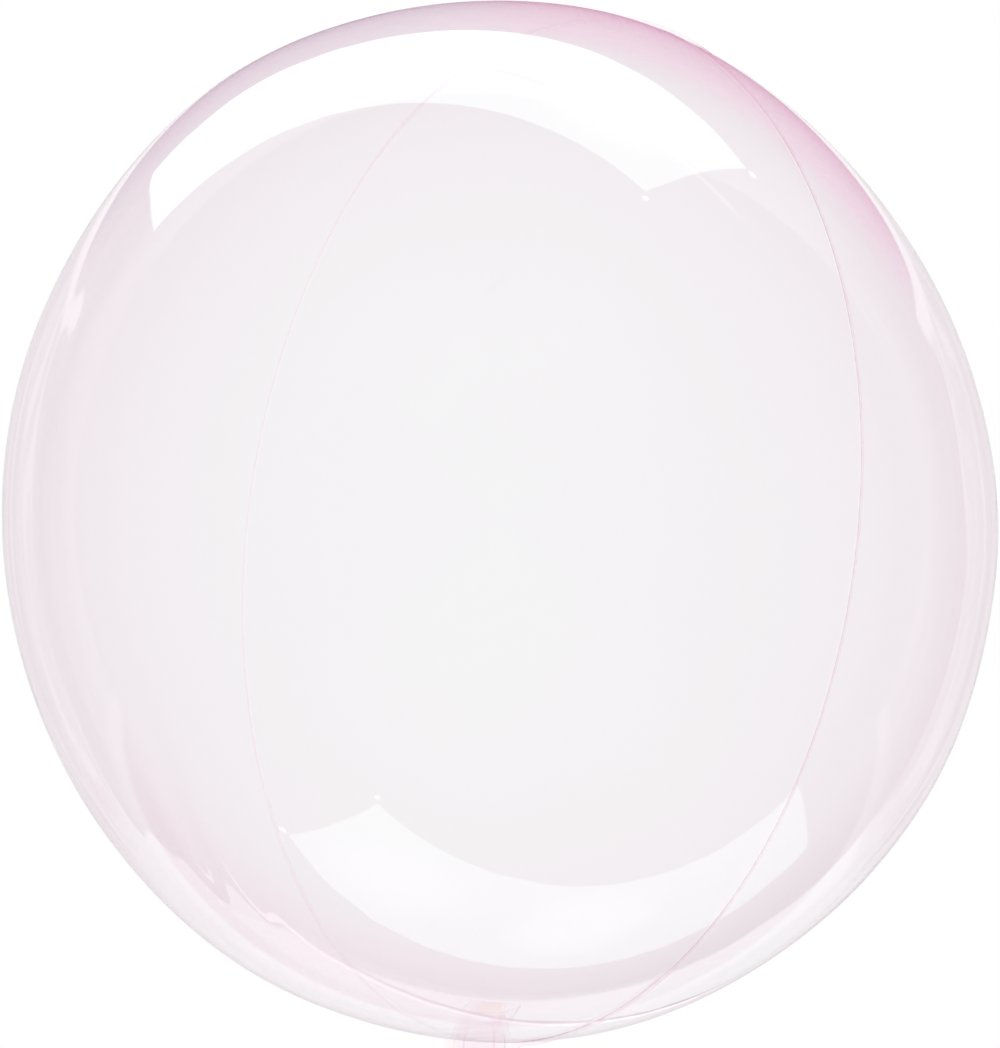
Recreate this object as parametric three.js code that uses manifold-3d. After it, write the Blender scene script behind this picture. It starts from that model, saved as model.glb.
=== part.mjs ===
// Clear bubble balloon, blown up and lying loose on a level surface.
//
// Two panels of tinted clear film are welded to each other round one great circle.
// A flat self-sealing valve runs through the neck, from inside the balloon out into
// the tail. The balloon is sealed and full of air, so each panel is a solid half of
// it, with its half of the weld flange and its ply of the tail.
//
// Millimetres, +Z up, origin on the surface under the middle of the balloon. The neck
// points to -Y and down.
//
// The balloon's own axes, in which it is drawn, are Z from the neck to the crown and
// Y square to the seam's plane, towards the back panel.

import * as THREE from 'three';
import { mergeVertices } from 'three/addons/utils/BufferGeometryUtils.js';
import Module from 'manifold-3d';

// Body: a ball slightly longer one way than the other two.
const LONG_RADIUS = 256.2;
const SHORT_RADIUS = 243.8;
const LONG_AXIS_LEAN = THREE.MathUtils.degToRad(14.7);      // from the neck's axis
const LONG_AXIS_BEARING = THREE.MathUtils.degToRad(-92.0);  // about the neck's axis

// How it lies: the neck's axis leans back from upright, after a turn about itself.
const NECK_AXIS_LEAN = THREE.MathUtils.degToRad(41.8);
const SEAM_TURN = THREE.MathUtils.degToRad(-49.4);
const FOOT_RADIUS = 38;         // the flat spot it rests on

// Weld flange round the seam, and the gap that parts the two solids.
const SEAM_GAP = 0.3;
const FLANGE_WIDTH = 2.2;
const FLANGE_THICKNESS = 0.6;   // each panel's half

// Tail: two plies, welded along their sides, with the valve between them.
const TAIL_WIDTH = 50;
const TAIL_LENGTH = 46;         // from the seam's edge
const TAIL_CORNER = 7;
const TAIL_ROOT_FILLET = 11;
const TAIL_PLY_REACH = 1.2;     // from the seam's plane to a ply's outer face
const TAIL_ROOT_DEPTH = 14;     // how far a ply runs into the body

// Valve: a flat sleeve whose mouth flares a little inside the balloon.
const VALVE_WIDTH = 41;
const VALVE_MOUTH_WIDTH = 44;
const VALVE_THICKNESS = 0.6;
const VALVE_INSIDE = 20;        // length past the seam, inside
const VALVE_OUTSIDE = 39;       // length past the seam, in the tail
const VALVE_CLEARANCE = 0.3;

const STEPS_ROUND = 72;         // facets round the seam
const STEPS_UP = 17;            // rings from the seam to the middle of a panel
const STEPS_ARC = 6;            // facets of a small corner

const wasm = await Module();
wasm.setup();

// ---------------------------------------------------------------- the body's form

const longAxis = new THREE.Vector3(
  Math.sin(LONG_AXIS_LEAN) * Math.cos(LONG_AXIS_BEARING),
  Math.sin(LONG_AXIS_LEAN) * Math.sin(LONG_AXIS_BEARING),
  Math.cos(LONG_AXIS_LEAN),
);

// Distance from the body's centre to its surface in a unit direction.
function bodyRadius(direction) {
  const along = direction.dot(longAxis) ** 2;
  return 1 / Math.sqrt(along / LONG_RADIUS ** 2 + (1 - along) / SHORT_RADIUS ** 2);
}

// Distance from the body's centre to the level plane that touches it in a direction.
function bodyReach(direction) {
  const along = direction.dot(longAxis) ** 2;
  return Math.sqrt(along * LONG_RADIUS ** 2 + (1 - along) * SHORT_RADIUS ** 2);
}

const NECK = new THREE.Vector3(0, 0, -1);
const seamEdge = bodyRadius(NECK);

// ---------------------------------------------------------------- the resting pose

const turned = new THREE.Matrix4().makeRotationX(-NECK_AXIS_LEAN)
  .multiply(new THREE.Matrix4().makeRotationZ(SEAM_TURN));
const down = new THREE.Vector3(0, 0, -1).applyMatrix4(turned.clone().invert());
const footDepth = SHORT_RADIUS - Math.sqrt(SHORT_RADIUS ** 2 - FOOT_RADIUS ** 2);
const centreHeight = bodyReach(down) - footDepth;
const restingPose = new THREE.Matrix4().makeTranslation(0, 0, centreHeight).multiply(turned);

// ---------------------------------------------------------------- solids from geometries

function toSolid(geometry) {
  const bare = new THREE.BufferGeometry();
  bare.setAttribute('position', geometry.getAttribute('position').clone());
  if (geometry.index) bare.setIndex(geometry.index.clone());
  const merged = mergeVertices(bare, 1e-4);
  return new wasm.Manifold(new wasm.Mesh({
    numProp: 3,
    vertProperties: new Float32Array(merged.getAttribute('position').array),
    triVerts: new Uint32Array(merged.index.array),
  }));
}

function toGeometry(solid) {
  const mesh = solid.getMesh();
  const geometry = new THREE.BufferGeometry();
  geometry.setAttribute('position', new THREE.BufferAttribute(mesh.vertProperties, 3));
  geometry.setIndex(new THREE.BufferAttribute(mesh.triVerts, 1));
  geometry.computeVertexNormals();
  return geometry;
}

// A flat shape drawn in the seam's plane (x across, y up the neck's axis), given
// thickness from one distance off that plane to another.
function plate(shape, near, far) {
  const geometry = new THREE.ExtrudeGeometry(shape, {
    depth: far - near,
    bevelEnabled: false,
    curveSegments: STEPS_ARC,
  });
  geometry.translate(0, 0, -far);
  geometry.rotateX(Math.PI / 2);
  return geometry;
}

// ---------------------------------------------------------------- a panel

// The body's half on one side of the seam (+1 or -1): the flange's rim, then rings that
// climb from the seam to the middle of the panel, closed by a flat face at the seam.
function halfBody(side) {
  const start = Math.asin(FLANGE_THICKNESS / SHORT_RADIUS);
  const positions = [];
  const push = (x, y, z) => positions.push(x, y + side * (SEAM_GAP / 2), z);
  const bearing = (step) => (side * 2 * Math.PI * step) / STEPS_ROUND;

  for (const rimHeight of [0, FLANGE_THICKNESS]) {
    for (let k = 0; k < STEPS_ROUND; k += 1) {
      const out = new THREE.Vector3(Math.cos(bearing(k)), 0, Math.sin(bearing(k)));
      out.multiplyScalar(bodyRadius(out) + FLANGE_WIDTH);
      push(out.x, side * rimHeight, out.z);
    }
  }
  for (let j = 0; j < STEPS_UP; j += 1) {
    const climb = start + ((Math.PI / 2 - start) * j) / STEPS_UP;
    for (let k = 0; k < STEPS_ROUND; k += 1) {
      const out = new THREE.Vector3(
        Math.cos(climb) * Math.cos(bearing(k)),
        side * Math.sin(climb),
        Math.cos(climb) * Math.sin(bearing(k)),
      );
      out.multiplyScalar(bodyRadius(out));
      push(out.x, out.y, out.z);
    }
  }
  const rings = positions.length / 3 / STEPS_ROUND;
  const apex = positions.length / 3;
  push(0, side * bodyRadius(new THREE.Vector3(0, side, 0)), 0);
  const middle = apex + 1;
  push(0, 0, 0);

  const index = [];
  const at = (ring, step) => ring * STEPS_ROUND + (step % STEPS_ROUND);
  for (let k = 0; k < STEPS_ROUND; k += 1) {
    index.push(middle, at(0, k), at(0, k + 1));
    index.push(apex, at(rings - 1, k + 1), at(rings - 1, k));
    for (let ring = 0; ring < rings - 1; ring += 1) {
      index.push(at(ring, k), at(ring + 1, k), at(ring + 1, k + 1));
      index.push(at(ring, k), at(ring + 1, k + 1), at(ring, k + 1));
    }
  }
  const geometry = new THREE.BufferGeometry();
  geometry.setAttribute('position', new THREE.Float32BufferAttribute(positions, 3));
  geometry.setIndex(index);
  return geometry;
}

// The tail's outline: straight sides that flare into the flange, and round corners.
function tailShape() {
  const half = TAIL_WIDTH / 2;
  const rootTop = -seamEdge + TAIL_ROOT_DEPTH;
  const end = -seamEdge - TAIL_LENGTH;
  const buried = seamEdge + FLANGE_WIDTH / 2;
  const filletX = half + TAIL_ROOT_FILLET;
  const filletZ = -Math.sqrt((buried + TAIL_ROOT_FILLET) ** 2 - filletX ** 2);
  const meet = Math.atan2(-filletZ, -filletX);  // where the flare leaves the flange
  const shape = new THREE.Shape();
  shape.moveTo(-half, rootTop);
  shape.lineTo(half, rootTop);
  shape.absarc(filletX, filletZ, TAIL_ROOT_FILLET, meet, Math.PI, false);
  shape.absarc(half - TAIL_CORNER, end + TAIL_CORNER, TAIL_CORNER, 0, -Math.PI / 2, true);
  shape.absarc(-half + TAIL_CORNER, end + TAIL_CORNER, TAIL_CORNER, -Math.PI / 2, -Math.PI, true);
  shape.absarc(-filletX, filletZ, TAIL_ROOT_FILLET, 0, Math.PI - meet, false);
  return shape;
}

// The valve's outline, grown by a margin on every side.
function valveShape(margin, extraLength = 0) {
  const half = VALVE_WIDTH / 2 + margin;
  const mouthHalf = VALVE_MOUTH_WIDTH / 2 + margin;
  const mouth = -seamEdge + VALVE_INSIDE + margin;
  const flareStart = -seamEdge + VALVE_INSIDE / 2;
  const end = -seamEdge - VALVE_OUTSIDE - margin - extraLength;
  const shape = new THREE.Shape();
  shape.moveTo(-half, end);
  shape.lineTo(half, end);
  shape.lineTo(half, flareStart);
  shape.lineTo(mouthHalf, mouth);
  shape.lineTo(-mouthHalf, mouth);
  shape.lineTo(-half, flareStart);
  shape.closePath();
  return shape;
}

// The space that the valve lies in, open at the tail's end.
function valveSpace() {
  const depth = VALVE_THICKNESS / 2 + VALVE_CLEARANCE;
  return toSolid(plate(valveShape(VALVE_CLEARANCE, TAIL_LENGTH), -depth, depth));
}

// Everything below the surface that the balloon lies on.
function ground() {
  const size = 4 * LONG_RADIUS;
  return toSolid(new THREE.BoxGeometry(size, size, size).translate(0, 0, -size / 2));
}

function panelSolid(side) {
  const body = toSolid(halfBody(side));
  const faces = [side * (SEAM_GAP / 2), side * TAIL_PLY_REACH];
  const ply = toSolid(plate(tailShape(), Math.min(...faces), Math.max(...faces)));
  return body.add(ply).subtract(valveSpace());
}

function valveSolid() {
  return toSolid(plate(valveShape(0), -VALVE_THICKNESS / 2, VALVE_THICKNESS / 2));
}

// ---------------------------------------------------------------- the object

// Sets a solid down in the resting pose and cuts its foot level.
function setDown(solid) {
  const geometry = toGeometry(solid);
  geometry.applyMatrix4(restingPose);
  return toGeometry(toSolid(geometry).subtract(ground()));
}

const film = new THREE.MeshStandardMaterial({
  color: 0xf6e3ec,
  roughness: 0.06,
  metalness: 0,
  transparent: true,
  opacity: 0.3,
});
const valveFilm = new THREE.MeshStandardMaterial({
  color: 0xf7cfdc,
  roughness: 0.3,
  metalness: 0,
  transparent: true,
  opacity: 0.6,
});

const balloon = new THREE.Group();
const pieces = [
  ['front_panel', panelSolid(-1), film],
  ['back_panel', panelSolid(1), film],
  ['valve', valveSolid(), valveFilm],
];
for (const [name, solid, material] of pieces) {
  const mesh = new THREE.Mesh(setDown(solid), material);
  mesh.name = name;
  balloon.add(mesh);
}

export default balloon;
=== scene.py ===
"""Looks of the clear bubble balloon, in Blender 4.5.

Two panels of thin pink-tinted film, welded round the seam, and the flat valve sleeve
in the neck. Each panel is a real double-walled film: its outer and its inner face are
both there, so the glass shader sees a film, and the back of the balloon shows through.

Everything is worked out in the balloon's own axes (Z from the neck to the crown, Y
square to the seam's plane, towards the back panel, millimetres), then set down in the
row frame, in metres.
"""

import math

import bpy
import numpy as np
from mathutils import Matrix, Vector


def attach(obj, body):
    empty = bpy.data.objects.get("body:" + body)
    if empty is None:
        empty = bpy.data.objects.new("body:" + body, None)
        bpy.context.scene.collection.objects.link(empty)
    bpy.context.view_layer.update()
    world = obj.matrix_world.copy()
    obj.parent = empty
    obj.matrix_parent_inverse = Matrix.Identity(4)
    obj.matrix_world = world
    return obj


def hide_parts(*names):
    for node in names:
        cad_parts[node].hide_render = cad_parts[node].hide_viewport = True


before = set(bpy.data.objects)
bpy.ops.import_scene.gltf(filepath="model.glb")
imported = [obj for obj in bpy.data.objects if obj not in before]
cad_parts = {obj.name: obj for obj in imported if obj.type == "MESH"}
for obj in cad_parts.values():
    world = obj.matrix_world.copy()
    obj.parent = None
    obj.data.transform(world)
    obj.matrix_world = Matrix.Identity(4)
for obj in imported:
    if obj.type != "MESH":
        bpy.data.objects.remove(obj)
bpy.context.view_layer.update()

# ------------------------------------------------------------------ the CAD's values

LONG_RADIUS = 256.2
SHORT_RADIUS = 243.8
LONG_AXIS_LEAN = math.radians(14.7)
LONG_AXIS_BEARING = math.radians(-92.0)
NECK_AXIS_LEAN = math.radians(41.8)
SEAM_TURN = math.radians(-49.4)
FOOT_RADIUS = 15.0       # the CAD's flat spot is wider, so that the solid lies steady
FLANGE_WIDTH = 1.8       # the CAD's 2.2 is a little wider, for its faceted solid
TAIL_WIDTH = 50.0
TAIL_LENGTH = 46.0
TAIL_CORNER = 7.0
TAIL_ROOT_FILLET = 11.0
VALVE_WIDTH = 41.0
VALVE_MOUTH_WIDTH = 44.0
VALVE_INSIDE = 20.0
VALVE_OUTSIDE = 39.0

# ------------------------------------------------------------------ film and welds

FILM = 0.08              # thickness of the film
PLY_GAP = 0.03           # from the seam's plane to a ply's inner face
ROOT_RADIUS = 0.35       # the film's curl from the body into the flange
FOOT_SOFTNESS = 0.2      # how gently the film turns flat where it rests
CUT_EDGE = 0.35          # share of its thickness that a ply keeps at its cut edge
CUT_EDGE_WIDTH = 0.35
WELD_RIDGE = 0.03        # height of the two ridges that the weld leaves
WELD_RIDGE_WIDTH = 0.16
WELD_RIDGE_PLACES = (0.45, 1.05)        # from the edge
WELD_TINT_WIDTH = (2.2, 2.8)            # from the edge: still full, and gone

# ------------------------------------------------------------------ the valve's own

VALVE_WALL = 0.11
VALVE_FLAT = 0.17        # half of the sleeve's thickness where it lies flat
VALVE_GAPE = 3.1         # how much further each ply stands off at the open mouth
VALVE_LIP = 8.0          # length of the mouth that has its rows close together
VALVE_WELD = 12.0        # from the sleeve's middle to each of its two weld lines
VALVE_CURL = math.radians(58.0)
VALVE_ROOM = 0.30        # from the seam's plane to a ply's inner face over the valve
VALVE_STEP = (0.4, 2.6)  # from the sleeve's side: a ply's step down starts and ends
COAT_LENGTH = (4.5, 5.5)                # from the mouth: still full, and gone
COAT_HALF_WIDTH = (9.8, 10.6)

# ------------------------------------------------------------------ rows of points

FLAT_ROWS = 25           # over the flange and the tail's ply
CURL_ROWS = 5
BODY_ROWS = 91
RING_STEP = 0.0048       # radians between points along the flange, beside the tail
RING_STEP_GROWTH = 1.12
RING_STEP_MOST = 0.0225
RING_GAP_LEAST = 0.011   # before the point opposite the neck
TAIL_FEET = (0, 14.5, 18.5, 26.5)       # x of the seam points that the tail's belong to
VALVE_AROUND = 96
VALVE_LIP_ROWS = 24
VALVE_ROWS = 60

# ------------------------------------------------------------------ the ball's form

long_axis = np.array(
    [
        math.sin(LONG_AXIS_LEAN) * math.cos(LONG_AXIS_BEARING),
        math.sin(LONG_AXIS_LEAN) * math.sin(LONG_AXIS_BEARING),
        math.cos(LONG_AXIS_LEAN),
    ]
)

# low lumps of the blown film: azimuth and height round the neck's axis (degrees), and
# how far each stands out or is sunk, with the spread of them all (degrees)
LUMP_SPREAD = 12.0
LUMPS = (
    (-7.0, 65.0, 1.7),
    (26.0, 42.0, -1.2),
    (32.0, 29.0, -0.8),
    (39.0, 0.0, 1.3),
    (42.0, -27.0, 1.3),
    (42.0, -58.0, -1.1),
    (-117.0, -62.0, 1.3),
    (-102.0, -42.0, 1.0),
    (-86.0, -36.0, -1.2),
    (-109.0, 25.0, -0.8),
    (-94.0, 51.0, 1.7),
)


def lumps(directions):
    """How far the lumps bring the film out along unit vectors."""
    total = np.zeros(len(directions))
    for azimuth, height, rise in LUMPS:
        a, h = math.radians(azimuth), math.radians(height)
        level = math.cos(h)
        top = np.array([level * math.cos(a), level * math.sin(a), math.sin(h)])
        off = np.degrees(np.arccos(np.clip(directions @ top, -1, 1)))
        total += rise * np.exp(-((off / LUMP_SPREAD) ** 2))
    return total


def body_radius(directions):
    """From the ball's middle to the film's outer face, along unit vectors."""
    along = (directions @ long_axis) ** 2
    egg = 1 / np.sqrt(along / LONG_RADIUS**2 + (1 - along) / SHORT_RADIUS**2)
    return egg + lumps(directions)


def body_reach(direction):
    """From the ball's middle to the plane square to a unit vector that touches it."""
    along = float(direction @ long_axis) ** 2
    return math.sqrt(along * LONG_RADIUS**2 + (1 - along) * SHORT_RADIUS**2)


def smooth(x, low, high):
    t = np.clip((x - low) / (high - low), 0, 1)
    return t * t * (3 - 2 * t)


turned = np.array(
    Matrix.Rotation(-NECK_AXIS_LEAN, 3, "X") @ Matrix.Rotation(SEAM_TURN, 3, "Z")
)
down = turned.T @ np.array([0.0, 0.0, -1.0])
foot_depth = SHORT_RADIUS - math.sqrt(SHORT_RADIUS**2 - FOOT_RADIUS**2)
centre_height = body_reach(down) - foot_depth
seam_edge = float(body_radius(np.array([[0.0, 0.0, -1.0]]))[0])


def set_down(points, lift=0.0):
    """Own axes to the row frame, in metres, with the film flattened where it rests."""
    p = points @ turned.T
    p[:, 2] += centre_height
    z = p[:, 2] - lift
    p[:, 2] = lift + 0.5 * (z + np.sqrt(z * z + FOOT_SOFTNESS**2))
    return p / 1000


def tail_sway(points):
    """A slight curl that the two plies of the tail and the valve in it share."""
    below = np.clip((-points[:, 2] - seam_edge - 3) / TAIL_LENGTH, 0, 1.1)
    sway = 2.6 * below**2 * np.cos(points[:, 0] / 15.0 + 0.5) - 1.2 * below**1.5
    points = points.copy()
    points[:, 1] += sway
    return points


# ------------------------------------------------------------------ mesh helper


def new_piece(name, points, faces, materials, attributes, material_of_face=None):
    """A smooth-shaded object in the scene, with a number for each point under each key
    of attributes, for its materials to read."""
    mesh = bpy.data.meshes.new(name)
    mesh.from_pydata([], [], [])
    mesh.vertices.add(len(points))
    mesh.vertices.foreach_set("co", np.asarray(points, np.float32).ravel())
    sizes = np.array([len(f) for f in faces], np.int32)
    starts = np.r_[0, np.cumsum(sizes)[:-1]].astype(np.int32)
    loops = np.fromiter((i for f in faces for i in f), np.int32)
    mesh.loops.add(len(loops))
    mesh.loops.foreach_set("vertex_index", loops)
    mesh.polygons.add(len(faces))
    mesh.polygons.foreach_set("loop_start", starts)
    mesh.polygons.foreach_set("use_smooth", np.ones(len(faces), bool))
    for material in materials:
        mesh.materials.append(material)
    if material_of_face is not None:
        slots = np.asarray(material_of_face, np.int32)
        mesh.polygons.foreach_set("material_index", slots)
    mesh.update(calc_edges=True)
    mesh.validate()
    for key, values in attributes.items():
        layer = mesh.attributes.new(key, "FLOAT", "POINT")
        layer.data.foreach_set("value", np.asarray(values, np.float32))
    piece = bpy.data.objects.new(name, mesh)
    bpy.context.scene.collection.objects.link(piece)
    return piece


# ------------------------------------------------------------------ the panels


def arc(x, z, radius, angles):
    return [(x + radius * math.cos(a), z + radius * math.sin(a)) for a in angles]


def tail_outline(ring):
    """Half of the tail's edge, from the middle of its end to the flange, whose radius
    there is ring: its points (x, z), the x of the seam point that each belongs to, and
    the angle from the neck at which the flange takes over."""
    half = TAIL_WIDTH / 2
    end = -(seam_edge + TAIL_LENGTH)
    fillet_x = half + TAIL_ROOT_FILLET
    fillet_z = -math.sqrt((ring + TAIL_ROOT_FILLET) ** 2 - fillet_x**2)
    meet = math.atan2(-fillet_z, -fillet_x)
    meet_x = fillet_x + TAIL_ROOT_FILLET * math.cos(meet)
    quarter = np.linspace(-math.pi / 2, 0, 9)
    parts = (
        [(x, end) for x in np.linspace(0, half - TAIL_CORNER, 15)],
        arc(half - TAIL_CORNER, end + TAIL_CORNER, TAIL_CORNER, quarter),
        [(half, z) for z in np.linspace(end + TAIL_CORNER, fillet_z, 15)],
        arc(fillet_x, fillet_z, TAIL_ROOT_FILLET, np.linspace(math.pi, meet, 13)),
    )
    ends = (*TAIL_FEET, meet_x * seam_edge / ring)
    edge, feet = [], []
    for part, first, last in zip(parts, ends, ends[1:]):
        # a part's last point is the next one's first
        for i, point in enumerate(part[:-1]):
            edge.append(point)
            feet.append(first + (last - first) * i / (len(part) - 1))
    return edge, feet, math.asin(meet_x / ring)


def ring_angles(start):
    """Angles from the neck of the flange's points, which lie closer beside the tail."""
    step, angle = RING_STEP, start
    angles = []
    while angle < math.pi - RING_GAP_LEAST:
        angles.append(angle)
        step = min(step * RING_STEP_GROWTH, RING_STEP_MOST)
        angle += step
    angles = np.array(angles)
    return start + (angles - start) * (math.pi - start) / (angles[-1] + step - start)


def half_outline():
    """Half of the tail's and the flange's edge, from the middle of the tail's end to
    the point opposite the neck: its points (x, z), and the angle from the neck of the
    seam point that each belongs to."""
    edge, feet, start = tail_outline(seam_edge + FLANGE_WIDTH)
    angles = [math.asin(min(1, x / seam_edge)) for x in feet]
    for angle in ring_angles(start):
        way = np.array([[math.sin(angle), 0.0, -math.cos(angle)]])
        own = smooth(angle, start, start + 0.1)
        reach = float(body_radius(way)[0]) * own + seam_edge * (1 - own) + FLANGE_WIDTH
        edge.append((reach * math.sin(angle), -reach * math.cos(angle)))
        angles.append(angle)
    crown = np.array([[0.0, 0.0, 1.0]])
    edge.append((0.0, float(body_radius(crown)[0]) + FLANGE_WIDTH))
    angles.append(math.pi)
    return np.array(edge), np.array(angles)


def columns():
    """The whole edge: the half outline, and its mirror image on the way back."""
    edge, angle = half_outline()
    other = slice(-2, 0, -1)
    edges = np.vstack([edge, edge[other] * [-1, 1]])
    angles = np.r_[angle, -angle[other]]
    return edges, angles


def ply_height(x, z):
    """Inner face of a ply off the seam's plane: it steps up over the valve."""
    in_tail = smooth(-z, seam_edge - 10, seam_edge - 2)
    step = [VALVE_WIDTH / 2 + off for off in VALVE_STEP]
    over = 1 - smooth(np.abs(x), *step)
    height = PLY_GAP + (VALVE_ROOM - PLY_GAP) * in_tail * over
    puff = np.clip(1 - (x / (VALVE_WIDTH / 2)) ** 2, 0, 1)
    down_tail = np.clip((-z - seam_edge) / TAIL_LENGTH, 0, 1)
    return height + 0.7 * puff * down_tail**3


def weld_ridges(edge_distance):
    """Small ridges that the weld leaves on a ply's outer face, along its edge."""
    ridges = sum(
        np.exp(-(((edge_distance - place) / WELD_RIDGE_WIDTH) ** 2))
        for place in WELD_RIDGE_PLACES
    )
    return WELD_RIDGE * ridges


PUCKER_HEIGHT = 0.030
PUCKER_SPREAD = 26.0     # how fast they fade away from the seam
GATHER_HEIGHT = 0.30     # of the larger ones that gather at the neck
GATHER_SPREAD = (22.0, 18.0)            # how fast those fade from the neck and the seam
GATHER_PITCH = 1.9


def seam_pucker(angle, from_seam, neck_distance):
    """Height of the small puckers that the weld draws into the film beside it."""
    slow = 0.5 + 0.5 * np.sin(3.1 * angle + 0.8) * np.sin(1.3 * angle + 2.0)
    wave = (
        np.sin(67 * angle + 1.7 * np.sin(5 * angle))
        + 0.6 * np.sin(113 * angle + 2.3 * np.sin(3 * angle) + 1.0)
        + 0.35 * np.sin(41 * angle - 0.05 * from_seam)
    )
    pucker = PUCKER_HEIGHT * slow * np.exp(-from_seam / PUCKER_SPREAD) * wave
    fold = np.cos(angle * seam_edge / GATHER_PITCH + 0.4)
    gather = GATHER_HEIGHT * np.exp(-neck_distance / GATHER_SPREAD[0]) * fold
    gather = gather * np.exp(-from_seam / GATHER_SPREAD[1])
    return (pucker + gather) * smooth(from_seam, 0.0, 3.0)


# where the blown film keeps some of its wrinkles: azimuth and height round the neck's
# axis (degrees), their spreads, and how strong they are
CRUMPLES = (
    (-94.0, 12.0, 6.0, 22.0, 0.8),
    (-86.0, -38.0, 13.0, 16.0, 1.3),
    (17.0, 12.0, 6.0, 20.0, 0.8),
    (28.0, -38.0, 10.0, 12.0, 0.35),
)
WRINKLE_HEIGHT = 0.16
WRINKLE_LEAST = 0.04     # their strength everywhere else
WRINKLE_CLEAR = (2.0, 22.0)             # from the seam's plane: none yet, and full


def wrinkles(points):
    """Height of the wrinkles, which run from the neck to the crown."""
    azimuth = np.arctan2(points[:, 1], points[:, 0])
    height = np.arcsin(np.clip(points[:, 2] / np.linalg.norm(points, axis=1), -1, 1))
    strength = np.full(len(points), WRINKLE_LEAST)
    for place, level, wide, tall, share in CRUMPLES:
        off = np.degrees(np.angle(np.exp(1j * (azimuth - math.radians(place)))))
        rise = np.degrees(height) - level
        strength += share * np.exp(-((off / wide) ** 2) - (rise / tall) ** 2)
    wave = (
        np.sin(41 * azimuth + 1.1 * np.sin(4.1 * height) + 0.6)
        + 0.6 * np.sin(57 * azimuth - 2.3 * height + 2.0)
        + 0.6 * np.sin(25 * azimuth + 1.7 * np.sin(5.3 * height) + 1.0)
    )
    clear = smooth(np.abs(points[:, 1]), *WRINKLE_CLEAR)
    return WRINKLE_HEIGHT * wave * strength * clear


def flat_part(edges, roots, side):
    """The flange and the tail's ply, from the edge in to the curl: rows of points of
    the outer and the inner face, and how much of the weld's tint each point has."""
    outer, inner, weld = [], [], []
    for share in np.linspace(0, 1, FLAT_ROWS):
        flat = edges + (roots - edges) * share
        x, z = flat[:, 0], flat[:, 1]
        from_edge = np.linalg.norm(flat - edges, axis=1)
        from_side = TAIL_WIDTH / 2 - np.abs(x)
        in_tail = smooth(-z, seam_edge + 6, seam_edge + 12)
        off = from_edge * (1 - in_tail) + from_side * in_tail
        weld.append(1 - smooth(off, *WELD_TINT_WIDTH))
        base = ply_height(x, z)
        thick = FILM + weld_ridges(off)
        kept = smooth(np.minimum(off, from_edge), 0.0, CUT_EDGE_WIDTH)
        thick = thick * (CUT_EDGE + (1 - CUT_EDGE) * kept)
        outer.append(np.stack([x, side * (base + thick), z], 1))
        inner.append(np.stack([x, side * base, z], 1))
    return outer, inner, weld


def curl_part(ways, reach, base, side):
    """The curl from the flange up into the ball, as rows of both faces' points."""
    outer, inner = [], []
    for turn in np.linspace(0, math.pi / 2, CURL_ROWS + 2)[1:-1]:
        for rows, radius in ((outer, ROOT_RADIUS), (inner, ROOT_RADIUS + FILM)):
            out = reach + ROOT_RADIUS - radius * math.sin(turn)
            height = base + ROOT_RADIUS - radius * math.cos(turn)
            x, z = ways[:, 0] * out, ways[:, 2] * out
            rows.append(np.stack([x, side * height, z], 1))
    return outer, inner


def body_part(angles, ways, first, side):
    """The ball's rings, from the curl up to the middle of the panel, whose one point
    comes last, as rows of both faces' points."""
    outer, inner = [], []
    neck = np.array([0.0, 0.0, -seam_edge])
    grade = np.linspace(0, 1, BODY_ROWS + 1)
    climbs = grade + 0.32 * (grade**2 - grade) * (1 - grade) * 2
    for share in climbs[:-1]:
        climb = first + (math.pi / 2 - first) * share
        level = np.cos(climb)
        x, z = level * ways[:, 0], level * ways[:, 2]
        way = np.stack([x, side * np.sin(climb), z], 1)
        radius = body_radius(way)
        from_seam = (climb - first) * radius
        neck_distance = np.linalg.norm(way * radius[:, None] - neck, axis=1)
        radius = radius + seam_pucker(angles, from_seam, neck_distance) * level**2
        radius = radius + wrinkles(way * radius[:, None])
        outer.append(way * radius[:, None])
        inner.append(way * (radius - FILM)[:, None])
    way = np.array([[0.0, float(side), 0.0]])
    apex = float(body_radius(way)[0])
    apex += float(wrinkles(way * apex)[0])
    return outer + [way * apex], inner + [way * (apex - FILM)]


def panel_faces(count, rows, per_face, side):
    """Faces of both walls, of the apex and of the rim that joins the walls at the cut
    edge, with the material of each: 1 for the welded film, 0 for the rest."""
    faces, material_of_face = [], []

    def add(material, outward, corners):
        faces.append(corners if outward == (side < 0) else corners[::-1])
        material_of_face.append(material)

    def add_both(material, corners):
        add(material, True, corners)
        add(material, False, tuple(i + per_face for i in corners))

    following = [(k + 1) % count for k in range(count)]
    for row in range(rows - 1):
        a, b = row * count, (row + 1) * count
        for k, n in enumerate(following):
            add_both(int(row < FLAT_ROWS + CURL_ROWS), (a + k, a + n, b + n, b + k))
    last = (rows - 1) * count
    for k, n in enumerate(following):
        add_both(0, (last + k, last + n, per_face - 1))
        add(1, True, (k, k + per_face, n + per_face, n))
    return faces, material_of_face


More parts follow.
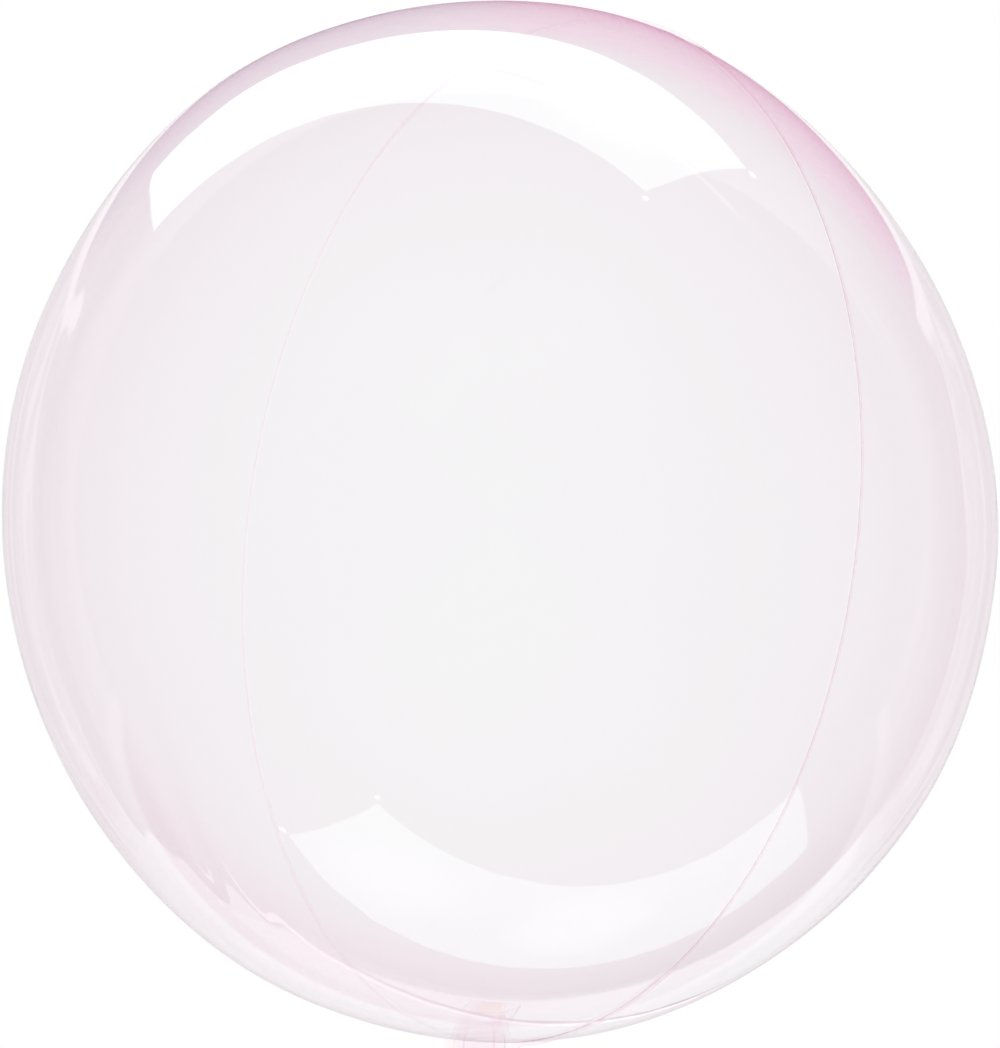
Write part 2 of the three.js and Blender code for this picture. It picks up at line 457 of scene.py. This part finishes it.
def panel(name, side, materials):
    """One panel's film, with its half of the flange and its ply of the tail. The side
    is -1 for the front panel and 1 for the back one."""
    edges, angles = columns()
    count = len(angles)
    ways = np.stack([np.sin(angles), np.zeros(count), -np.cos(angles)], 1)
    reach = body_radius(ways)
    roots = ways[:, [0, 2]] * (reach + ROOT_RADIUS)[:, None]
    base = ply_height(roots[:, 0], roots[:, 1]) + FILM
    first = np.arcsin((base + ROOT_RADIUS) / reach)

    flat_outer, flat_inner, flat_weld = flat_part(edges, roots, side)
    curl_outer, curl_inner = curl_part(ways, reach, base, side)
    body_outer, body_inner = body_part(angles, ways, first, side)
    outer = np.vstack(flat_outer + curl_outer + body_outer)
    inner = np.vstack(flat_inner + curl_inner + body_inner)
    per_face = len(outer)
    points = np.vstack(
        [set_down(tail_sway(outer)), set_down(tail_sway(inner), lift=FILM)]
    )

    from_neck = np.hypot(roots[:, 0], roots[:, 1] + seam_edge)
    curl_weld = smooth(from_neck, VALVE_WIDTH / 2, VALVE_WIDTH / 2 + 3)
    welded = np.concatenate(flat_weld + [curl_weld] * CURL_ROWS)
    weld = np.zeros(per_face)
    weld[: len(welded)] = welded

    rows = FLAT_ROWS + CURL_ROWS + BODY_ROWS
    faces, material_of_face = panel_faces(count, rows, per_face, side)
    weld = {"weld": np.r_[weld, weld]}
    return new_piece(name, points, faces, materials, weld, material_of_face)


# ------------------------------------------------------------------ the valve


def sleeve_row(turn, h):
    """One row of the sleeve at h above the seam's edge: points of its outer and its
    inner face, and how far off the sleeve's middle each one lies."""
    cosine, sine = np.cos(turn), np.sin(turn)
    opening = smooth(h, VALVE_INSIDE - 13, VALVE_INSIDE + 1)
    flare = smooth(h, VALVE_INSIDE / 2 - 2, VALVE_INSIDE)
    half = (VALVE_WIDTH + (VALVE_MOUTH_WIDTH - VALVE_WIDTH) * flare) / 2
    half -= 1.6 * opening**2

    # evenly spread across the flat, close together at the folded sides
    x = half * np.sign(cosine) * np.abs(cosine) ** 0.85
    bulge = np.clip(1 - (x / half) ** 2, 0, 1)
    front = np.where(sine < 0, 1.0, 0.75)
    lens = (VALVE_FLAT + VALVE_GAPE * opening * bulge**0.8 * front) * np.sign(sine)
    lens = lens * smooth(np.abs(sine), 0.0, 0.22)

    # two weld lines make the sleeve's middle channel
    weld = np.exp(-(((np.abs(x) - VALVE_WELD) / 0.7) ** 2)) * (1 - opening)
    puff = 0.05 * (1 - opening) * np.cos(x / VALVE_WELD * math.pi / 2) ** 2
    y = lens * (1 - 0.45 * weld) + puff * np.sign(sine)
    wave = 1.3 * opening**2 * np.cos(x / half * 2.2 + 0.6)
    lip = 0.9 * opening**2 * np.sin(turn * 2 + 0.7)

    # inside the balloon the sleeve curls over towards the back panel
    curl = VALVE_CURL * max(0.0, h) / VALVE_INSIDE
    bend = VALVE_INSIDE / VALVE_CURL
    spine_y = bend * (1 - math.cos(curl))
    spine_z = bend * math.sin(curl) if h > 0 else h
    walls = []
    for inset in (0.0, VALVE_WALL):
        sx = np.sign(x) * np.minimum(np.abs(x), half - inset)
        sy = np.sign(y) * np.maximum(np.abs(y) - inset, 0.01) + wave
        py = spine_y + sy * math.cos(curl) + lip * math.sin(curl)
        pz = -seam_edge + spine_z - sy * math.sin(curl) + lip * math.cos(curl)
        walls.append(np.stack([sx, py, pz], 1))
    return (*walls, x)


def sleeve_faces(rows, around, per_face):
    """Faces of both walls, and of the rims that join them at both open ends."""
    faces = []
    following = [(k + 1) % around for k in range(around)]
    for row in range(rows - 1):
        a, b = row * around, (row + 1) * around
        for k, n in enumerate(following):
            quad = (a + k, b + k, b + n, a + n)
            faces.append(quad)
            faces.append(tuple(i + per_face for i in quad)[::-1])
    end = (rows - 1) * around
    for k, n in enumerate(following):
        faces.append((k, n, n + per_face, k + per_face))
        faces.append((end + n, end + k, end + k + per_face, end + n + per_face))
    return faces


def valve_sleeve(name, material):
    """A flattened sleeve of two plies, its mouth a little open inside the balloon."""
    lip_end = VALVE_INSIDE - VALVE_LIP
    heights = np.r_[
        np.linspace(VALVE_INSIDE, lip_end, VALVE_LIP_ROWS + 1)[:-1],
        np.linspace(lip_end, -VALVE_OUTSIDE, VALVE_ROWS),
    ]
    turn = np.linspace(0, 2 * math.pi, VALVE_AROUND, endpoint=False)
    rows = [sleeve_row(turn, h) for h in heights]
    outer, inner, across = (np.concatenate(part) for part in zip(*rows))
    along = np.repeat(heights, VALVE_AROUND)
    points = set_down(tail_sway(np.vstack([outer, inner])))
    faces = sleeve_faces(len(heights), VALVE_AROUND, len(outer))
    places = {"across_mm": np.r_[across, across], "along_mm": np.r_[along, along]}
    return new_piece(name, points, faces, [material], places)


# ------------------------------------------------------------------ node helpers


class Nodes:
    """Adds nodes to one tree. A helper returns the socket that carries its result."""

    def __init__(self, tree):
        self.tree = tree
        tree.nodes.clear()

    def add(self, kind, **values):
        node = self.tree.nodes.new(kind)
        for key, value in values.items():
            setattr(node, key, value)
        return node

    def link(self, a, b):
        self.tree.links.new(a, b)

    def put(self, socket, value):
        if isinstance(value, bpy.types.NodeSocket):
            self.link(value, socket)
        else:
            socket.default_value = value

    def math(self, operation, a, b=None):
        node = self.add("ShaderNodeMath", operation=operation)
        self.put(node.inputs[0], a)
        if b is not None:
            self.put(node.inputs[1], b)
        return node.outputs[0]

    def ramp(self, value, low, high, smoothly=True):
        """0 at low and 1 at high, either of which may be the greater."""
        node = self.add("ShaderNodeMapRange")
        node.interpolation_type = "SMOOTHSTEP" if smoothly else "LINEAR"
        self.put(node.inputs["Value"], value)
        node.inputs["From Min"].default_value = low
        node.inputs["From Max"].default_value = high
        return node.outputs["Result"]

    def mix(self, factor, a, b, blend="MIX"):
        node = self.add("ShaderNodeMix", data_type="RGBA", blend_type=blend)
        node.clamp_factor = True
        self.put(node.inputs[0], factor)
        for socket, value in ((node.inputs[6], a), (node.inputs[7], b)):
            if not isinstance(value, bpy.types.NodeSocket):
                value = (*value, 1)
            self.put(socket, value)
        return node.outputs[2]

    def dot(self, vector, constant):
        node = self.add("ShaderNodeVectorMath", operation="DOT_PRODUCT")
        self.put(node.inputs[0], vector)
        self.put(node.inputs[1], constant)
        return node.outputs["Value"]

    def join(self, x, y):
        node = self.add("ShaderNodeCombineXYZ")
        self.link(x, node.inputs[0])
        self.link(y, node.inputs[1])
        return node.outputs[0]

    def attribute(self, name):
        node = self.add("ShaderNodeAttribute", attribute_name=name)
        return node.outputs["Fac"]

    def noise(self, vector, scale, detail):
        node = self.add("ShaderNodeTexNoise")
        node.inputs["Scale"].default_value = scale
        node.inputs["Detail"].default_value = detail
        self.link(vector, node.inputs["Vector"])
        return node.outputs["Fac"]

    def bump(self, height, strength, distance):
        node = self.add("ShaderNodeBump")
        node.inputs["Strength"].default_value = strength
        node.inputs["Distance"].default_value = distance
        self.link(height, node.inputs["Height"])
        return node.outputs["Normal"]

    def mirror_ray(self):
        """1 for what the film mirrors, 0 for what is seen straight or through it."""
        path = self.add("ShaderNodeLightPath")
        return self.math("GREATER_THAN", path.outputs["Glossy Depth"], 0.5)


# ------------------------------------------------------------------ materials


def clear_film(name, ior, roughness):
    """A new clear material, its node helper, its shader and the object's own place."""
    material = bpy.data.materials.new(name)
    material.use_nodes = True
    n = Nodes(material.node_tree)
    shader = n.add("ShaderNodeBsdfPrincipled")
    shader.inputs["Transmission Weight"].default_value = 1.0
    shader.inputs["IOR"].default_value = ior
    shader.inputs["Roughness"].default_value = roughness
    n.link(shader.outputs[0], n.add("ShaderNodeOutputMaterial").inputs["Surface"])
    return material, n, shader, n.add("ShaderNodeTexCoord").outputs["Object"]


def film_material():
    """The blown film: glossy, and faintly pink."""
    material, n, shader, place = clear_film("tinted_film", 1.5, 0.015)

    # the tint deepens where the film is seen on edge, and a little from place to place
    edge = n.add("ShaderNodeLayerWeight")
    edge.inputs["Blend"].default_value = 0.5
    on_edge = n.ramp(edge.outputs["Facing"], 0.0, 0.62, smoothly=False)
    tint = n.mix(on_edge, (1.0, 0.998, 1.0), (0.991, 0.938, 0.966))
    cloud = n.ramp(n.noise(place, 4.0, 2.0), 0.35, 0.7)
    patchy = n.mix(cloud, (1.0, 1.0, 1.0), (1.0, 0.994, 0.998))
    n.link(n.mix(1.0, tint, patchy, "MULTIPLY"), shader.inputs["Base Color"])

    # fine stretch marks
    marks = n.noise(place, 38.0, 3.0)
    n.link(n.bump(marks, 0.05, 0.00025), shader.inputs["Normal"])
    return material


def weld_material():
    """The flange and the tail: hardly any gloss, and a deeper pink where fused."""
    material, n, shader, place = clear_film("welded_film", 1.04, 0.015)
    knurl = n.noise(place, 300.0, 1.0)
    fused = n.mix(n.ramp(knurl, 0.3, 0.7), (0.998, 0.945, 0.970), (1.0, 0.975, 0.988))
    tint = n.mix(n.attribute("weld"), (0.999, 0.972, 0.984), fused)
    n.link(tint, shader.inputs["Base Color"])
    n.link(n.bump(knurl, 0.2, 0.0001), shader.inputs["Normal"])
    return material


def valve_material():
    """The valve's film, deeper along its weld lines, with a peach coat at its mouth."""
    material, n, shader, place = clear_film("valve_film", 1.12, 0.08)
    along = n.attribute("along_mm")
    off_middle = n.math("ABSOLUTE", n.attribute("across_mm"))
    cloud = n.noise(place, 120.0, 3.0)
    tint = n.mix(n.ramp(cloud, 0.3, 0.7), (0.998, 0.972, 0.984), (1.0, 0.988, 0.994))
    off_weld = n.math("ABSOLUTE", n.math("SUBTRACT", off_middle, VALVE_WELD))
    tint = n.mix(n.ramp(off_weld, 1.1, 0.3), tint, (0.99, 0.91, 0.945))

    # the mouth's release coat
    full, gone = COAT_LENGTH
    coat = n.math(
        "MULTIPLY",
        n.ramp(along, VALVE_INSIDE - gone, VALVE_INSIDE - full),
        n.ramp(off_middle, *COAT_HALF_WIDTH[::-1]),
    )
    tint = n.mix(n.math("MULTIPLY", coat, 0.75), tint, (1.0, 0.86, 0.81))
    n.link(tint, shader.inputs["Base Color"])
    n.link(n.bump(cloud, 0.25, 0.0002), shader.inputs["Normal"])
    return material


film = [film_material(), weld_material()]
valve_film = valve_material()

PANELS = (("film_front", -1, "front_panel"), ("film_back", 1, "back_panel"))
for name, side, node in PANELS:
    piece = panel(name, side, film)
    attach(piece, "root")
    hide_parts(node)
sleeve = valve_sleeve("valve_sleeve", valve_film)
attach(sleeve, "root")
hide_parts("valve")

# ------------------------------------------------------------------ camera

VIEW_RIGHT = Vector((0.9984, 0.0566, 0.0)).normalized()
VIEW_BACK = Vector((0.0475, -0.8374, 0.5446)).normalized()
VIEW_UP = VIEW_BACK.cross(VIEW_RIGHT).normalized()
VIEW_DISTANCE = 1.087
VIEW_OFFSET = (0.0006, -0.0010)         # of the camera, along the view's right and up

lens = bpy.data.cameras.new("camera")
lens.sensor_fit = "AUTO"
lens.sensor_width = 36.0
lens.lens = 74.06
lens.clip_start, lens.clip_end = 0.02, 200.0
camera = bpy.data.objects.new("camera", lens)
bpy.context.scene.collection.objects.link(camera)
view = Matrix((VIEW_RIGHT, VIEW_UP, VIEW_BACK)).transposed()
eye = (
    Vector((0, 0, centre_height / 1000))
    + VIEW_BACK * VIEW_DISTANCE
    + VIEW_RIGHT * VIEW_OFFSET[0]
    + VIEW_UP * VIEW_OFFSET[1]
)
camera.matrix_world = Matrix.Translation(eye) @ view.to_4x4()
bpy.context.scene.camera = camera

# ------------------------------------------------------------------ stage and light
#
# A white floor in a white room: what is seen straight, or straight through the film,
# is plain white. What the film mirrors is a studio: a dim grey room with a pale
# backdrop behind the balloon, two tubes on its floor, and one large soft box above and
# behind. Places in it are directions from the balloon: shares of the view's right, up
# and back, or degrees off one of them.

WHITE = (1.0, 1.0, 1.0)
FLOOR_REACH = 30.0
FLOOR_LEVEL = -0.0002    # just under the film
SOFT_BOX = (
    (-0.534, 0.503, -0.683),
    (-0.729, 0.569, -0.388),
    (0.437, 0.884, 0.168),
    (0.584, 0.769, -0.263),
)
SOFT_BOX_EDGE = 0.004
GLOWS = (
    ((0.318, 0.929, -0.189), (1.62, 1.90, 1.78)),
    ((-0.185, 0.902, -0.390), (1.70, 2.00, 1.88)),
)
CLAMPS = ((0.600, 0.757, -0.259), (0.442, 0.876, 0.195))
CLAMP_SHINE = (2.6, 2.6, 2.6)
TUBE_MIDDLE = (-0.468, -0.274, -0.84)
# radii of a tube's outer and inner side round that middle, in degrees, and its tone
TUBES = ((40.6, 39.6, (0.62, 0.53, 0.60)), (39.4, 38.3, (1.18, 1.16, 1.17)))
SHEET_HALF_WIDTH = (1.17, 1.23)         # the backdrop's, in the view's plane at depth 1
SHEET_TOP = (0.275, 0.30)


def view_way(right, up, back):
    """Unit vector towards a place in the studio."""
    return (VIEW_RIGHT * right + VIEW_UP * up + VIEW_BACK * back).normalized()


class Studio:
    """Radiance of the room that the film mirrors, by direction. Each part takes the
    tone of the room so far and returns it with the part in it."""

    def __init__(self, n, direction):
        self.n = n
        self.direction = direction
        self.right = n.dot(direction, VIEW_RIGHT)
        self.up = n.dot(direction, VIEW_UP)
        self.ahead = n.dot(direction, -VIEW_BACK)
        clock = n.add("ShaderNodeVectorMath", operation="NORMALIZE")
        n.link(n.join(self.right, self.up), clock.inputs[0])
        self.clock = clock.outputs[0]

    def within(self, cosine, none_at, full_at):
        """0 to 1 where the angle of a cosine runs from one to the other, in degrees."""
        none_at, full_at = math.radians(none_at), math.radians(full_at)
        return self.n.ramp(cosine, math.cos(none_at), math.cos(full_at))

    def toward(self, degrees, low, high):
        """0 to 1 towards a place on the view's clock, in degrees from the top."""
        a = math.radians(degrees)
        hand = (math.sin(a), math.cos(a), 0.0)
        return self.n.ramp(self.n.dot(self.clock, hand), low, high)

    def spot(self, way, radius, soft):
        """1 within a radius of a place and 0 beyond its soft edge, in degrees."""
        off = self.n.dot(self.direction, view_way(*way))
        return self.within(off, radius + soft, radius)

    def walls(self):
        """A dim grey room: paler ahead, greener below and rosy at the upper right."""
        n = self.n
        room = n.ramp(self.ahead, -0.3, 0.45)
        room = n.mix(room, (0.40, 0.38, 0.42), (0.56, 0.53, 0.55))
        side = n.ramp(self.right, -0.5, 0.5)
        side = n.mix(side, (0.73, 0.69, 0.72), (0.70, 0.60, 0.66))
        side = n.mix(self.toward(345, 0.65, 0.95), side, (0.66, 0.52, 0.62))
        room = n.mix(self.within(self.ahead, 62, 48), room, side)
        green = n.mix(0.5, room, (0.54, 0.60, 0.57))
        room = n.mix(self.toward(180, 0.4, 0.9), room, green)
        rosy = self.toward(30, 0.78, 0.95)
        rosy = n.math("MULTIPLY", rosy, self.within(self.ahead, 63, 47))
        return n.mix(rosy, room, (0.74, 0.40, 0.57))

    def backdrop(self, room):
        """A wide white sheet whose top edge is a little below eye level."""
        n = self.n
        depth = n.math("MAXIMUM", self.ahead, 0.05)
        across = n.math("DIVIDE", self.right, depth)
        height = n.math("DIVIDE", self.up, depth)
        spread = n.math("ABSOLUTE", across)
        lift = n.math("SUBTRACT", height, n.math("MULTIPLY", spread, 0.22))
        sheet = n.math(
            "MULTIPLY",
            n.ramp(spread, *SHEET_HALF_WIDTH[::-1]),
            n.ramp(lift, *SHEET_TOP[::-1]),
        )
        near = n.math("SUBTRACT", self.ahead, n.math("MULTIPLY", self.right, 0.15))
        sheet = n.math("MULTIPLY", sheet, n.ramp(near, 0.49, 0.525))

        # upright folds, a cooler foot, a dimmer middle and a bright hem
        folds = n.join(n.math("MULTIPLY", across, 7.0), n.math("MULTIPLY", height, 1.6))
        folds = n.ramp(n.noise(folds, 1.0, 2.0), 0.42, 0.66)
        cloth = n.mix(folds, (0.80, 0.76, 0.79), (0.92, 0.90, 0.91))
        foot = n.math("ADD", height, n.math("MULTIPLY", spread, 0.5))
        cloth = n.mix(n.ramp(foot, -0.10, -0.32), cloth, (0.93, 0.985, 0.965))
        cloth = n.mix(self.within(self.ahead, 34, 20), cloth, (0.90, 0.86, 0.88))
        hem = n.math("MULTIPLY", n.ramp(lift, 0.19, 0.24), n.ramp(height, -0.5, 0.0))
        cloth = n.mix(hem, cloth, (1.04, 1.02, 1.03))
        return n.mix(sheet, room, cloth)

    def tubes(self, room):
        """A dark tube and a pale one on the floor, curved round under the balloon."""
        n = self.n
        off = n.dot(self.direction, view_way(*TUBE_MIDDLE))
        part = self.toward(188, 0.80, 0.87)
        for outer, inner, tone in TUBES:
            inside = self.within(off, outer + 0.3, outer)
            outside = self.within(off, inner - 0.3, inner)
            band = n.math("MULTIPLY", n.math("MULTIPLY", inside, outside), part)
            room = n.mix(band, room, tone)
        return room

    def soft_box(self, room):
        """A lit box with four straight sides. Two lamps glow through its cloth, and a
        clamp shines beside each right-hand corner."""
        n = self.n
        corners = [view_way(*corner) for corner in SOFT_BOX]
        middle = sum(corners, Vector()).normalized()
        inside = None
        for corner, following in zip(corners, corners[1:] + corners[:1]):
            side = corner.cross(following).normalized()
            if side.dot(middle) < 0:
                side = -side
            part = n.ramp(n.dot(self.direction, side), -SOFT_BOX_EDGE, SOFT_BOX_EDGE)
            inside = part if inside is None else n.math("MULTIPLY", inside, part)
        lit = (1.30, 1.60, 1.50)
        for way, glow in GLOWS:
            lit = n.mix(self.spot(way, 1.0, 13.0), lit, glow)
        room = n.mix(inside, room, lit)
        for way in CLAMPS:
            room = n.mix(self.spot(way, 0.35, 0.35), room, CLAMP_SHINE)
        return room


def studio_world():
    """Plain white to the eye, and the studio to a mirror ray."""
    world = bpy.data.worlds.new("studio")
    world.use_nodes = True
    n = Nodes(world.node_tree)
    studio = Studio(n, n.add("ShaderNodeTexCoord").outputs["Generated"])
    room = studio.soft_box(studio.tubes(studio.backdrop(studio.walls())))
    background = n.add("ShaderNodeBackground")
    n.link(n.mix(n.mirror_ray(), WHITE, room), background.inputs["Color"])
    background.inputs["Strength"].default_value = 1.0
    n.link(background.outputs[0], n.add("ShaderNodeOutputWorld").inputs["Surface"])
    return world


def floor_material():
    """Plain white to the eye, and clear to a mirror ray, which meets the studio."""
    material = bpy.data.materials.new("white_floor")
    material.use_nodes = True
    n = Nodes(material.node_tree)
    glow = n.add("ShaderNodeEmission")
    glow.inputs["Color"].default_value = (*WHITE, 1)
    clear = n.add("ShaderNodeBsdfTransparent")
    either = n.add("ShaderNodeMixShader")
    n.link(n.mirror_ray(), either.inputs[0])
    n.link(glow.outputs[0], either.inputs[1])
    n.link(clear.outputs[0], either.inputs[2])
    n.link(either.outputs[0], n.add("ShaderNodeOutputMaterial").inputs["Surface"])
    return material


floor_mesh = bpy.data.meshes.new("floor")
floor_corners = ((-1, -1), (1, -1), (1, 1), (-1, 1))
floor_mesh.from_pydata(
    [(x * FLOOR_REACH, y * FLOOR_REACH, FLOOR_LEVEL) for x, y in floor_corners],
    [],
    [(0, 1, 2, 3)],
)
floor_mesh.materials.append(floor_material())
floor = bpy.data.objects.new("floor", floor_mesh)
bpy.context.scene.collection.objects.link(floor)

scene = bpy.context.scene
scene.world = studio_world()
scene.view_settings.view_transform = "Standard"
scene.cycles.max_bounces = 20
scene.cycles.transmission_bounces = 20
scene.cycles.glossy_bounces = 8
scene.cycles.transparent_max_bounces = 32
